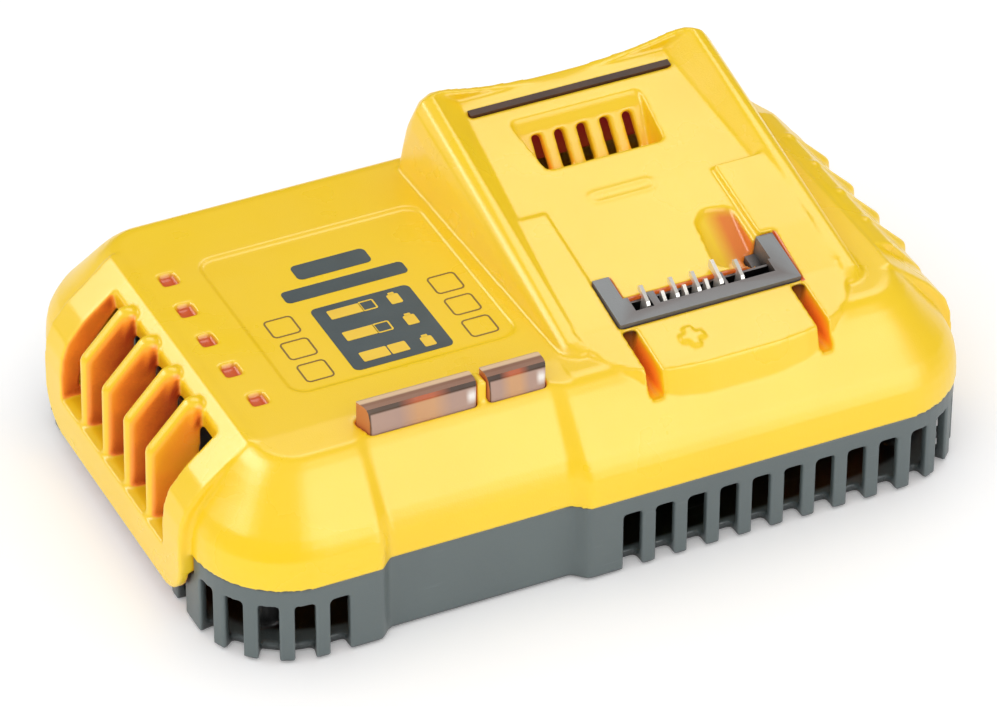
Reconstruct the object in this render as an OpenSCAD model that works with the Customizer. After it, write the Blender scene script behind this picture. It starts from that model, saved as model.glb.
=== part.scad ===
// Fan-cooled battery charger for a slide-on power tool pack.
// Frame: X runs along the housing, Y to the back, Z up. The origin is on the ground
// under the middle of the housing. All sizes are in millimetres.

/* [Housing] */
// Length of the housing between its end walls
body_w = 220; // [210:1:232]
// Depth of the housing at the parting line
body_d = 147; // [142:1:156]
// Height of the parting line above the ground
base_h = 24; // [22:0.5:26]
// Height of the deck above the ground
deck_z = 54; // [52:0.5:57]
// Radius of the four upright corners at the parting line
corner_r = 26; // [22:1:30]
// Wall thickness of the mouldings
wall = 2.5; // [2:0.1:3]
// How far the sloping faces reach in from the parting line to the deck
slope_in = 19; // [17:0.5:21]
// How far the waist of the front steps back
waist_in = 3.6; // [2:0.2:5]
// Left end of the waist, from the middle of the housing
waist_left = -66; // [-70:1:-60]
// Right end of the waist, from the middle of the housing
waist_right = -10.5; // [-14:0.5:-9]
// Running length of each softly rounded step of the waist
step_len = 5; // [3:0.5:8]

/* [End louvres] */
// Distance between the fins of the end louvres
fin_pitch = 14.7; // [13:0.1:15.5]
// Thickness of one fin
fin_t = 4.6; // [3.5:0.1:6]
// Number of openings in each end louvre
vent_count = 5; // [3:1:5]
// How far the end caps stand out from the end walls
cap_out = 3; // [2:0.1:4]
// Half the depth of each end cap
cap_half = 46; // [44:0.5:48]
// Height of the cap's lower edge above the ground
cap_low = 8; // [6:0.5:11]
// Height of the sill under the openings
sill_z = 20.5; // [18:0.5:22]

/* [Battery dock] */
// Middle of the dock, from the middle of the housing
dock_x = 40.4; // [38:0.2:42]
// Half the width of the sliding plate between the dock walls
plate_half = 31; // [29:0.5:33]
// Half the width over the tops of the dock walls
wall_half = 40.4; // [38:0.2:42]
// Slope of the sliding plate
plate_tilt = 10.8; // [8:0.2:13]
// Height of the horns at the back of the dock, above the deck
horn_h = 25; // [23:0.5:26]
// Width of the cooling slots in the plate
grille_slot_w = 3; // [2:0.1:4]
// Distance between the cooling slots in the plate
grille_pitch = 6.8; // [6:0.1:7]
// Distance between the tall contact blades
blade_pitch = 6.4; // [5.6:0.1:7]
// Thickness of a contact blade
blade_t = 1; // [0.6:0.1:1.2]

/* [Base] */
// Distance between the slots around the base
slot_pitch = 9.45; // [8:0.05:11]
// Width of a slot in the base
slot_w = 5.4; // [4:0.1:6.4]
// Height of the top of the slots above the ground
slot_top = 18.5; // [16:0.5:20]
// Height that the rubber feet lift the base
foot_lift = 0.8; // [0.5:0.1:1.2]
// Distance between the two keyholes for wall mounting
keyhole_span = 120; // [100:1:130]
// Radius of the keyhole that passes the screw head
keyhole_r = 4.5; // [4:0.1:5]
// Bore radius of the mains cord gland
cord_r = 3.6; // [3:0.1:4.2]

/* [Electronics] */
// Height of the circuit board above the base floor
board_lift = 6; // [5:0.5:8]
// Thickness of the circuit boards
board_t = 1.6; // [1.2:0.1:2]
// Side of the square cooling fan
fan_size = 40; // [36:1:40]
// Thickness of the cooling fan
fan_t = 15; // [10:0.5:16]
// Radius of the fan hub
hub_r = 10.5; // [9:0.5:12]
// Number of fan blades
fan_blades = 7; // [5:1:9]

/* [Hidden] */
$fn = 48;
yellow = [0.98, 0.78, 0.05];
charcoal = [0.27, 0.29, 0.31];
eps = 0.01;
gap = 0.3;                       // clearance between neighbouring pieces
half_w = body_w / 2;
half_d = body_d / 2;
slope_h = deck_z - base_h;
arc_steps = 13;                  // facets in a quarter corner
step_steps = 5;                  // facets in a waist step
floor_z = foot_lift + wall;      // top of the base floor
base_top = base_h;
base_in = 0.5;                   // the base sits this far inside the top shell

// Sloping side of the housing: [share of the height, share of the reach inwards].
slope_curve = [[0, 0], [0.17, 0.015], [0.28, 0.045], [0.36, 0.1], [0.45, 0.18], [0.63, 0.41],
    [0.8, 0.62], [0.89, 0.74], [0.955, 0.85], [0.99, 0.94], [1, 1.04]];
function slope_z(k) = base_h + slope_h * slope_curve[k][0];
function slope_d(k) = slope_in * slope_curve[k][1];

// Plan of the housing at a distance d inside the parting line, anticlockwise from above.
function ease(t) = t <= 0 ? 0 : t >= 1 ? 1 : t * t * (3 - 2 * t);
function waist_at(x) = waist_in * ease((x - waist_left) / step_len + 0.5)
    * (1 - ease((x - waist_right) / step_len + 0.5));
function arc(c, r, a0, n) = [for (i = [0:n]) c + r * [cos(a0 + 90 * i / n), sin(a0 + 90 * i / n)]];
function step_xs(x) = [for (i = [0:step_steps]) x + step_len * (i / step_steps - 0.5)];
function front_xs() = concat(step_xs(waist_left), step_xs(waist_right));
function plan(d, fade = 1) =
    let (hx = half_w - d, hy = half_d - d, r = max(corner_r - 0.85 * d, 6))
    concat(arc([r - hx, r - hy], r, 180, arc_steps),
        [for (x = front_xs()) [x, fade * waist_at(x) - hy]],
        arc([hx - r, r - hy], r, 270, arc_steps),
        arc([hx - r, hy - r], r, 0, arc_steps),
        arc([r - hx, hy - r], r, 90, arc_steps));

// Solid between stacked plans, each given as [height, points].
module loft(rings) {
    n = len(rings[0][1]);
    m = len(rings);
    polyhedron(
        points = [for (ring = rings) for (p = ring[1]) [p[0], p[1], ring[0]]],
        faces = concat([[for (j = [0:n - 1]) j]],
            [for (i = [0:m - 2]) for (j = [0:n - 1])
                [i * n + j, (i + 1) * n + j, (i + 1) * n + (j + 1) % n, i * n + (j + 1) % n]],
            [[for (j = [n - 1:-1:0]) (m - 1) * n + j]]),
        convexity = 6);
}

module housing_form() {
    loft([for (k = [0:len(slope_curve) - 1])
        [slope_z(k), plan(slope_d(k), 1 - 0.5 * slope_curve[k][0])]]);
}
module housing_cavity() {
    rings = [1, 4, 5, 7, 9];
    loft(concat([[base_h - 1, plan(wall)]],
        [for (k = rings) [slope_z(k) - wall, plan(slope_d(k) + wall, 1 - 0.5 * slope_curve[k][0])]]));
}

// Dock frame: origin on the plate at the terminal bar, y up the plate, z square to it.
dock_y0 = 30 - half_d;
dock_z0 = deck_z + 2.4;
module dock() {
    translate([dock_x, dock_y0, dock_z0]) rotate([plate_tilt, 0, 0]) children();
}
horn_top = deck_z + horn_h;
tower_back = half_d - 28;        // crest of the horns, in Y
plate_len = (tower_back - dock_y0) / cos(plate_tilt) + 1.4;
tower_foot = half_d - 22.8;      // foot of the tower's back wall
tower_front = dock_y0 - 1.5;     // where the dock walls run out into the deck
side_back = wall_half + 6;       // half width of the tower's foot at the back
side_front = wall_half + 4;      // and at the front
arch_r = 136;                    // concave arch between the horns

// One upright slice of the tower, across X, at depth y.
module tower_slice(y, half) {
    translate([dock_x, y, 0]) rotate([90, 0, 0]) linear_extrude(0.2, center = true)
        polygon(concat([for (p = half) [-p[0], p[1]]],
            [for (i = [len(half) - 1:-1:0]) [half[i][0], half[i][1]]]));
}
module tower() {
    hull() {
        tower_slice(tower_back, [[side_back, deck_z - 6], [side_back - 1, horn_top - 9],
            [wall_half + 3.8, horn_top - 4.2],
            [wall_half + 1.7, horn_top - 1.3], [wall_half - 1, horn_top]]);
        tower_slice(tower_back + 3, [[side_back, deck_z - 6], [side_back - 1.6, horn_top - 9.5],
            [wall_half + 1.2, horn_top - 3.2], [wall_half - 2, horn_top - 1.2]]);
        tower_slice(tower_foot, [[side_back + 0.8, deck_z - 6], [side_back + 0.4, deck_z + 1],
            [side_back - 2, horn_top - 13]]);
        tower_slice(tower_front, [[side_front, deck_z - 6], [side_front, deck_z + 0.2],
            [side_front - 0.6, deck_z + 1.4],
            [wall_half + 1.9, deck_z + 2.6]]);
        tower_slice(tower_front - 3.6, [[side_front - 2, deck_z - 6], [side_front - 2, deck_z - 0.4],
            [wall_half - 0.5, deck_z + 1]]);
    }
}

// Rounded nose of the dock: half outlines as [half width, distance behind the front wall].
nose_top = [[39.5, 33], [38.7, 28.8], [37, 24.6], [34.5, 20.2], [31, 16.6], [26, 14.2], [19, 12.8],
    [10, 12]];
nose_foot = [[43.8, 33], [42.8, 26.6], [40.4, 20.9], [37, 16], [32.3, 12.3], [26, 9.9], [19, 8.7],
    [10, 8.1]];
nose_low = 42;
nose_crown = deck_z + 3;
function nose_plan(half) = concat([for (p = half) [dock_x - p[0], p[1] - half_d]],
    [for (i = [len(half) - 1:-1:0]) [dock_x + half[i][0], half[i][1] - half_d]]);
module above_plate() {
    dock() translate([-60, -60, 0]) cube([120, 90, 40]);
}
module nose() {
    difference() {
        loft([[nose_low, nose_plan(nose_foot)], [nose_crown, nose_plan(nose_top)]]);
        above_plate();
    }
}
module nose_trim() {
    intersection() {
        linear_extrude(100) polygon(nose_plan(nose_top));
        above_plate();
    }
}
module dock_bay() {
    side_h = 2.2;                // upright foot of the dock walls
    hull() {
        for (end = [[-7, 0.3, plate_half - 5.2], [plate_len, 5.6, plate_half - 0.4]]) {
            dock() translate([0, end[0], 0]) rotate([90, 0, 0]) linear_extrude(0.1, center = true)
                polygon([[-end[2], 0], [-end[2] - 0.8, side_h * end[1] / 5.2],
                    [-wall_half + 1.2, end[1]],
                    [-wall_half + 1.2, 40], [wall_half - 1.2, 40], [wall_half - 1.2, end[1]],
                    [end[2] + 0.8, side_h * end[1] / 5.2], [end[2], 0]]);
        }
    }
}
module arch_cut() {
    translate([dock_x, tower_back - 5, horn_top - 5.6 + arch_r]) rotate([-90, 0, 0])
        cylinder(r = arch_r, h = 40, $fn = 120);
}

// Features cut into or raised from the plate, in the dock frame.
strip_s = plate_len - 6.8;
strip_w = 2 * plate_half - 1.8;
strip_d = 2.6;
grille_s = plate_len - 22;       // middle of the air grille, up the plate
grille_d = 10;                   // depth of the grille's recess at its lower edge
grille_x = -1.7;                 // the grille sits a little left of the dock's middle
block_half = 26.6;               // half width of the terminal block
block_arm = 4.8;                 // width of its arms
block_back = 16.8;               // upper end of the arms
block_front = -0.6;              // lower edge of the bar
block_bar = 8.8;                 // width of the bar with its wells
block_rise = 0.9;                // height over the plate
block_depth = 8;                 // depth under the plate
corner_w = 3.2;                  // width of the pocket beside the right arm
tongue_half = 22.9;
channel_w = 3.8;
channel_z = deck_z - 9;          // floor of the two channels beside the tongue
channel_front = 10.4;            // their open front ends, behind the front wall

module rounded_box(size, r, h) {
    linear_extrude(h) hull() for (sx = [-1, 1], sy = [-1, 1])
        translate([sx * (size[0] / 2 - r), sy * (size[1] / 2 - r)]) circle(r, $fn = 24);
}
// Profile up the plate and down into it: the slots are in the steep upper face.
module grille_prism(x0, x1, pts) {
    dock() translate([grille_x + x0, grille_s, 0]) rotate([90, 0, 90]) linear_extrude(x1 - x0) polygon(pts);
}
module grille_recess() {
    intersection() {
        grille_prism(-20, 20, [[-10.4, 1], [-9.6, -grille_d], [-3.4, -grille_d], [6.4, -2.2], [9.4, -1],
            [11.2, 1]]);
        dock() translate([grille_x, grille_s, 0]) hull() {
            linear_extrude(1) polygon([[-17.6, -9.2], [-19.4, 8.6], [-18.4, 10.4], [-16.4, 11.2],
                [16.4, 11.2], [18.4, 10.4], [19.4, 8.6], [17.6, -9.2], [15.8, -10.4], [-15.8, -10.4]]);
            translate([0, 0, -grille_d]) rounded_box([34.4, 20], 2, 0.5);
        }
    }
}
module grille_slots() {
    for (i = [-2:2]) {
        x = 0.5 + i * grille_pitch;
        grille_prism(x - grille_slot_w / 2, x + grille_slot_w / 2, [[-3.4, 1 - grille_d],
            [4.4, -2.2], [5.2, -2.2], [10, -7.5], [2, -grille_d - 4.5]]);
    }
}
// A ledge along each dock wall; the right one steps up beside the terminal block's arm.
module rails() {
    rail_in = 22.7;
    rail_out = wall_half - 2;
    rail_s = [block_back + 0.8, 44.4];
    side_in = block_half + gap + 0.3;
    dock() for (side = [[rail_in, rail_out, 2], [-rail_out, -side_in, 0.7]])
        translate([side[0], 0, 0]) rotate([90, 0, 90]) linear_extrude(side[1] - side[0])
            polygon([[1, -1], [1, 0.1], [rail_s[0], side[2]], [rail_s[1], side[2]], [rail_s[1], -1]]);
}
module plate_bar() {
    dock() translate([-3.8, 45.6, -0.5]) difference() {
        rounded_box([18.8, 4.4], 1.2, 0.8);
        translate([0, 0, 0.5]) rounded_box([17.4, 3], 0.8, 1);
    }
}
module scoop() {
    dock() hull() {
        translate([14.9, 25.9, -0.8]) cylinder(r = 5.6, h = 3, $fn = 24);
        translate([19, 28.8, -0.8]) cylinder(r = 2, h = 3, $fn = 16);
        translate([13, 14.6, -3.4]) cylinder(r = 5.2, h = 4, $fn = 24);
        translate([17, 12.4, -5.6]) cylinder(r = 3.8, h = 6, $fn = 24);
    }
}
module block_pocket() {
    c = gap;
    dock() difference() {
        translate([-block_half - c, block_front - c, -14])
            cube([2 * (block_half + c), block_back - block_front + 2 * c, 30]);
        translate([-block_half + block_arm + c, block_front + block_bar + c, -30])
            cube([2 * (block_half - block_arm - c) - corner_w, 40, 60]);
        translate([0, block_back - 0.4, -30]) cube([block_half - block_arm - c, 20, 60]);
    }
}
module tongue_channels() {
    for (s = [-1, 1])
        translate([dock_x + (s > 0 ? tongue_half : -tongue_half - channel_w), channel_front - half_d,
        channel_z])
        cube([channel_w, dock_y0 + half_d - channel_front - 1.5, 30]);
}
module plus_relief() {
    dock() translate([-10.3, -10, -0.5]) {
        translate([-1.1, -3.2, 0]) cube([2.2, 6.4, 1.3]);
        translate([-3.2, -1.1, 0]) cube([6.4, 2.2, 1.3]);
    }
}

// Deck features.
label_x = [-74, -9];
label_y = [-32, 34];
label_d = 0.7;
vent_row_x = half_w - 25.4;      // row of small square pockets beside the left ridge
pipe_y = 18.6 - half_d;          // front edge of the light pipes on the deck
pipe_back = 6.8;                 // their depth from that edge
pipe_rise = 6.3;                 // their height over the deck
pipe_r = 1.5;                    // radius of their upright corners
// Left end, right end and how far the left end slants.
pipe_long_x = [-63.1, -32.4, 1.2];
pipe_short_x = [-29.2, -12.6, 0.3];
module light_pipe_solid(x, c) {
    top = deck_z + pipe_rise + c;
    y1 = pipe_y + pipe_back;
    intersection() {
        translate([x[0] - 5, 0, 0]) rotate([90, 0, 90]) linear_extrude(x[1] - x[0] + 10)
            polygon([[pipe_y - c, deck_z - 8], [pipe_y - c, deck_z], [pipe_y + 0.9 - c, top - 1.3],
                [pipe_y + 1.5 - c, top - 0.4], [pipe_y + 2.6, top], [y1 - 1.4, top],
                [y1 - 0.4 + c, top - 0.5], [y1 + c, top - 1.6], [y1 + c, deck_z - 8]]);
        translate([0, 0, deck_z - 9]) linear_extrude(40) hull()
            for (p = [[x[0] + pipe_r, pipe_y + pipe_r], [x[0] + pipe_r - x[2], y1 - pipe_r],
                [x[1] - pipe_r, pipe_y + pipe_r], [x[1] - pipe_r, y1 - pipe_r]])
                translate(p) circle(pipe_r + c, $fn = 24);
    }
}
module pipe_divider() {
    translate([pipe_long_x[1] - 0.1, pipe_y + 0.65, deck_z - 1.1])
        cube([pipe_short_x[0] - pipe_long_x[1] + 0.2, pipe_back - 1.62, pipe_rise + 0.13]);
}
// The deck falls a little towards its front edge.
module front_fall() {
    translate([-ridge_x, 27.5 - half_d, deck_z]) rotate([3.6, 0, 0]) translate([0, -30, 0])
        cube([ridge_x + dock_x - side_front - 1.5, 30, 3]);
}
module label_recess() {
    w = label_x[1] - label_x[0];
    d = label_y[1] - label_y[0];
    translate([(label_x[0] + label_x[1]) / 2, (label_y[0] + label_y[1]) / 2, deck_z - label_d])
        rounded_box([w, d], 5, 5);
}
module square_pockets() {
    for (i = [0:vent_count - 1]) {
        y = (i - (vent_count - 1) / 2) * fin_pitch;
        translate([y * y / 544 - vent_row_x, y, deck_z]) hull() {
            translate([-2.4, -2.9, 0]) cube([4.8, 5.8, 1]);
            translate([-2.1, -2.5, -1.7]) cube([4.2, 5, 1]);
        }
    }
}

// End louvre: profile in X and Z, measured outwards from the middle of the housing.
cap_face = half_w + cap_out;
ridge_x = half_w - 17;
bend_z = base_h + slope_h * 0.47;
cap_slope_x = cap_face - 2.2;
function cap_outline() = [[ridge_x - 9, deck_z - 9], [ridge_x - 3, deck_z + 0.1], [ridge_x,
    deck_z + 0.35],
    [cap_slope_x - 5, bend_z + 5.5], [cap_slope_x, bend_z - 0.6], [cap_face - 0.5, bend_z - 5.5],
        [cap_face, bend_z - 11],
    [cap_face, cap_low], [half_w + gap, cap_low], [half_w + gap, sill_z - 3.2], [half_w - 6, sill_z - 2]];
vent_half = vent_count * fin_pitch / 2;
module cap_prism(y, pts) {
    translate([0, y, 0]) rotate([90, 0, 0]) linear_extrude(2 * y) polygon(pts);
}
module end_cap() {
    r = 12;
    intersection() {
        cap_prism(cap_half, cap_outline());
        hull() {
            translate([half_w - 60, -cap_half, sill_z - 1]) cube([70, 2 * cap_half, 60]);
            for (s = [-1, 1]) translate([half_w - 60, s * (cap_half - r), cap_low + r]) rotate([0, 90, 0])
                cylinder(r = r, h = 70, $fn = 40);
        }
    }
}
fin_in = half_w - 11;            // inner edge of the fins
module cap_opening() {
    h = vent_half - fin_t / 2;
    cap_prism(h, [[ridge_x + 3.6, deck_z + 4], [ridge_x + 3.6, deck_z - 4.2], [fin_in - 3, deck_z - 9],
        [fin_in - 6, sill_z], [fin_in - 6, sill_z - 0.5], [half_w + 0.4, sill_z], [cap_face + 4,
            sill_z - 1.4],
        [cap_face + 4, deck_z + 4]]);
}
module fin(y, drop = 0) {
    r = fin_t / 2;
    translate([0, y, 0]) hull() {
        translate([ridge_x + 5.9 - drop, 0, deck_z - 2.2 - drop]) sphere(r = r, $fn = 16);
        translate([cap_face - 1.2 - r - drop, 0, bend_z + 2.3]) sphere(r = r, $fn = 16);
        translate([cap_face - 0.9 - r, 0, sill_z - 2]) cylinder(r = r, h = 1, $fn = 16);
        translate([fin_in, -r + 0.3, sill_z - 2]) cube([4, 2 * r - 0.6, 1]);
        translate([fin_in - 2, -r + 0.3, deck_z - 12]) cube([4, 2 * r - 0.6, 1]);
    }
}
module knob(y) {
    translate([ridge_x + 5, y, deck_z - 2.9]) hull() {
        sphere(r = fin_t / 2 + 0.7, $fn = 16);
        translate([2.4, 0, -8]) sphere(r = fin_t / 2 - 0.2, $fn = 16);
    }
}
function fin_y(i) = (i - vent_count / 2) * fin_pitch;
module both_ends() {
    children();
    mirror([1, 0, 0]) children();
}

// The right louvre is closed over its upper shoulder by a shallow panel between the fins.
module shoulder_panel() {
    cap_prism(vent_half - fin_t / 2 + 0.5, [[ridge_x - 0.6, deck_z + 0.1], [ridge_x + 3, deck_z - 0.7],
        [half_w - 10.6, deck_z - 2],
        [half_w - 1.3, bend_z + 3.1], [half_w + 0.6, bend_z - 5], [half_w - 2, bend_z - 5],
        [half_w - 3.9, bend_z + 2.1], [half_w - 12.4, deck_z - 5.2], [ridge_x + 2.6, deck_z - 3.6]]);
}

// Housing screws run up through posts in the base into these bosses.
boss_x = half_w - 17.5;
boss_y = half_d - 19.5;
boss_r = 4.4;
screw_r = 1.5;
module four_corners() {
    for (sx = [-1, 1], sy = [-1, 1]) translate([sx * boss_x, sy * boss_y, 0]) children();
}
module shell_bosses() {
    intersection() {
        four_corners() cylinder(r = boss_r, h = deck_z, $fn = 24);
        translate([0, 0, base_h + gap]) loft([for (k = [0, 4, 6, 9])
            [slope_z(k) - base_h - (k > 0 ? 1 : 0), plan(slope_d(k) + 1)]]);
    }
}
module indicator_ribs() {
    for (x = [pipe_long_x[0] - 2, pipe_long_x[1] + 1.4, pipe_short_x[1] - 0.2])
        translate([x, pipe_y + 1, led_z]) cube([2.2, pipe_back - 3, deck_z - 7 - led_z]);
}

module top_shell() color(yellow) difference() {
    union() {
        difference() {
            union() {
                housing_form();
                tower();
                nose();
                both_ends() end_cap();
            }
            difference() {
                housing_cavity();
                translate([dock_x - wall_half + 6, -half_d, deck_z - 16])
                    cube([2 * (wall_half - 6), half_d + dock_y0 - 1, 40]);
                translate([pipe_long_x[0] - 3, -half_d, deck_z - 8])
                    cube([pipe_short_x[1] - pipe_long_x[0] + 6, 6 + pipe_back + 18, 1.5]);
            }
            tower_cavity();
            dock_bay();
            nose_trim();
            arch_cut();
            front_fall();
            both_ends() cap_opening();
        }
        for (i = [1:vent_count - 1]) {
            fin(fin_y(i), 1);
            mirror([1, 0, 0]) fin(fin_y(i));
            mirror([1, 0, 0]) knob(fin_y(i));
        }
        shoulder_panel();
        rails();
        plate_bar();
        plus_relief();
        pipe_divider();
        shell_bosses();
        indicator_ribs();
    }
    grille_recess();
    grille_slots();
    scoop();
    block_pocket();
    tongue_channels();
    strip_groove();
    label_recess();
    square_pockets();
    light_pipe_solid(pipe_long_x, gap);
    light_pipe_solid(pipe_short_x, gap);
    four_corners() translate([0, 0, base_h]) cylinder(r = screw_r + 0.15, h = 14, $fn = 24);
}
module tower_cavity() {
    h = plate_half - 2;
    y1 = tower_back - wall - 1;
    difference() {
        translate([dock_x - h, 0, 0]) rotate([90, 0, 90]) linear_extrude(2 * h)
            polygon([[dock_y0 + 20, deck_z - 8], [dock_y0 + 20,
                dock_z0 + 20 * tan(plate_tilt) - wall - 0.1],
                [y1, dock_z0 + (y1 - dock_y0) * tan(plate_tilt) - wall - 0.1], [y1, deck_z - 8]]);
        grille_prism(-22, 22, [[-13, 2], [-13, -grille_d - wall], [-2, -grille_d - wall],
            [9.4, -wall - 1.6], [14, 2]]);
        dock() translate([6, 17, -9]) cube([17, 16, 20]);
    }
}
module strip_groove() {
    dock() translate([-strip_w / 2 - 0.1, strip_s - 0.1, -strip_d]) cube([strip_w + 0.2, 2.4, 12]);
}

module dock_seal() color([0.2, 0.13, 0.08])
    dock() translate([-strip_w / 2, strip_s, -strip_d]) cube([strip_w, 2.2, strip_d + 0.5]);

// Base tray: outline as the top shell's parting line, slots around its ends and corners.
module base_outline(d) {
    polygon(plan(base_in + d));
}
slot_z = foot_lift - 1;
module slot_cut(h = slot_top - slot_z) {
    translate([-slot_w / 2, -1, slot_z]) cube([slot_w, wall + 3, h]);
}
first_slot = half_w - corner_r - slot_pitch / 2 + 0.4;
front_slots = [for (i = [0:8]) first_slot - slot_pitch * i];
left_slots = [-first_slot];
back_slots = [for (i = [0:2]) first_slot - slot_pitch * i];
side_slots = [for (i = [-4:4]) slot_pitch * i];
corner_arc = corner_r - base_in;
corner_slots = [for (i = [0.5:3.5]) 12 + 66 * (i - 0.5) / 3];
module base_slots() {
    inset = half_d - base_in;
    for (x = front_slots) translate([x, -inset, 0]) slot_cut();
    for (x = left_slots) translate([x, -inset, 0]) slot_cut();
    for (x = back_slots, s = [-1, 1]) translate([s * x, inset, 0]) rotate([0, 0, 180]) slot_cut();
    for (y = side_slots, s = [-1, 1]) translate([s * (half_w - base_in), y, 0]) rotate([0, 0, s * 90])
        slot_cut();
    for (a = corner_slots, sx = [-1, 1], sy = [-1, 1])
        translate([sx * (half_w - corner_r), sy * (half_d - corner_r), 0])
            rotate([0, 0, (sx > 0 ? 0 : 180) + sx * sy * a - 90]) translate([0, corner_arc, 0])
                rotate([0, 0, 180]) slot_cut();
}
post_r = 4.4;
board_post_r = 3.6;
board_z = floor_z + board_lift;
board_in = [42, 12, 23.5, 27.5];  // board's clearances at the left, right, front and back
board_x = [board_in[0] - half_w, half_w - board_in[1]];
board_y = [board_in[2] - half_d, half_d - board_in[3]];
left_k = (dock_x - board_x[0]) / 108.4;      // parts left of the dock's middle follow their room
right_k = (board_x[1] - dock_x) / 57.6;      // and so do the parts right of it
board_hole_in = 5;
function board_holes() = [for (x = [board_x[0] + board_hole_in, board_x[1] - board_hole_in],
    y = [board_y[0] + board_hole_in, board_y[1] - board_hole_in]) [x, y]];
head_pocket_z = foot_lift + 7;
gland_x = -40;
gland_z = 12.5;
gland_flange = 7;
gland_barrel = 5.4;
gland_recess = 4;                // the gland sits in a recess of the back wall
gland_y = half_d - base_in - gland_recess;
keyhole_y = 20;
slot_run = 9;
module keyhole() {
    cylinder(r = keyhole_r, h = wall + 2, center = true);
    translate([-2.2, 0, -wall / 2 - 1]) cube([4.4, slot_run, wall + 2]);
    translate([0, slot_run, 0]) cylinder(r = 2.2, h = wall + 2, center = true);
}
foot_r = 6;
foot_x = half_w - 30;
foot_y = half_d - 22;
foot_t = 2;
fan_x = -(half_w - 14.5);        // outer face of the fan frame
fan_z = floor_z + fan_size / 2;
module base_tray() color(charcoal) difference() {
    union() {
        difference() {
            translate([0, 0, foot_lift]) linear_extrude(base_top - foot_lift) base_outline(0);
            translate([0, 0, floor_z]) linear_extrude(base_top) base_outline(wall);
            for (s = [-1, 1]) translate([s * half_w - 8, -cap_half - gap, sill_z - 3.4])
                cube([16, 2 * (cap_half + gap), 20]);
            base_slots();
        }
        four_corners() translate([0, 0, foot_lift]) cylinder(r = post_r, h = base_top - foot_lift - 0.2);
        for (p = board_holes()) translate([p[0], p[1], floor_z - eps])
            cylinder(r = board_post_r, h = board_lift + eps);
        for (s = [-1, 1])
            translate([fan_x - 2, s * (fan_size / 2 + gap) - (s < 0 ? 2.5 : 0), floor_z - eps])
            cube([fan_t + 4, 2.5, 14]);
        for (p = [[fan_x - 2.3, 2], [fan_x + fan_t + gap, 2]]) translate([p[0], -14, floor_z - eps])
            cube([p[1], 28, 3]);
        translate([gland_x - 11.5, gland_y - wall, foot_lift])
            cube([23, gland_recess + 1, base_top - foot_lift - 0.2]);
    }
    four_corners() {
        translate([0, 0, foot_lift - 1]) cylinder(r = 3.4, h = head_pocket_z - foot_lift + 1);
        cylinder(r = screw_r + 0.4, h = base_top + 1);
    }
    for (p = board_holes()) translate([p[0], p[1], floor_z + 0.5]) cylinder(r = 1.1, h = board_lift);
    for (s = [-1, 1]) translate([s * keyhole_span / 2, keyhole_y, foot_lift + wall / 2]) keyhole();
    for (sx = [-1, 1], sy = [-1, 1]) translate([sx * foot_x, sy * foot_y, foot_lift - eps])
        cylinder(r = foot_r + 0.1, h = foot_t - foot_lift + eps);
    translate([gland_x - 9, gland_y, floor_z]) cube([18, gland_recess + 2, base_top]);
    translate([gland_x, gland_y - wall - 1, gland_z]) rotate([-90, 0, 0])
        cylinder(r = gland_barrel + 0.1, h = wall + 3);
}
module rubber_feet() color([0.1, 0.1, 0.1])
    for (sx = [-1, 1], sy = [-1, 1]) translate([sx * foot_x, sy * foot_y, 0])
        cylinder(r = foot_r, h = foot_t);
module cord_gland() color([0.12, 0.12, 0.13])
    translate([gland_x, gland_y, gland_z]) rotate([-90, 0, 0]) difference() {
        union() {
            translate([0, 0, -wall - 2]) cylinder(r = gland_barrel, h = wall + 5);
            translate([0, 0, 0.1]) cylinder(r = gland_flange, h = 1.6);
            translate([0, 0, -wall - 2]) cylinder(r = gland_flange, h = 1.9);
        }
        translate([0, 0, -wall - 3]) cylinder(r = cord_r, h = wall + 8);
    }
module housing_screws() color([0.72, 0.72, 0.74]) four_corners() {
    translate([0, 0, head_pocket_z - 2.2]) difference() {
        cylinder(r = 3, h = 2.2);
        translate([-0.5, -2.4, -1]) cube([1, 4.8, 2]);
        translate([-2.4, -0.5, -1]) cube([4.8, 1, 2]);
    }
    translate([0, 0, head_pocket_z - eps]) cylinder(r = screw_r, h = base_h + 12 - head_pocket_z);
}

// Terminal block with the contact blades of the dock.
bar_mid = block_front + block_bar / 2 + 0.1;     // lower edge of the blades
well_back = block_front + block_bar - 0.7;
wells = [[-20.4, -15, 3], [-12.9, 6.2, bar_mid - 0.3], [7.2, 21, bar_mid - 0.3]];
well_d = 5.4;
last_blade = 11.7;
tall_xs = [for (i = [0, 1, 2, 3, 4.35]) last_blade - i * blade_pitch];
short_xs = [for (i = [1.5:3.5]) last_blade - i * blade_pitch];
blade_foot = 3;
module terminal_block() color([0.36, 0.37, 0.39]) dock() difference() {
    union() {
        translate([-block_half, block_front, -block_depth])
            cube([2 * block_half, block_bar, block_depth + block_rise]);
        for (s = [-1, 1])
            translate([s > 0 ? block_half - block_arm : -block_half, block_front, -block_depth])
            cube([block_arm, block_back - block_front, block_depth + block_rise]);
        translate([block_half - block_arm - corner_w + 0.2, block_front, -block_depth])
            cube([corner_w, block_back - block_front - 0.7, block_depth - 4.8]);
    }
    for (w = wells) {
        translate([w[0], w[2], -well_d]) cube([w[1] - w[0], well_back - w[2], 12]);
        translate([w[0], w[2], -1]) cube([w[1] - w[0], block_bar, 5]);
    }
    for (x = concat(tall_xs, short_xs))
        translate([x - blade_t / 2 - 0.05, bar_mid - 0.2, -block_depth - 1])
        cube([blade_t + 0.1, blade_foot + 0.4, 8]);
}
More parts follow.
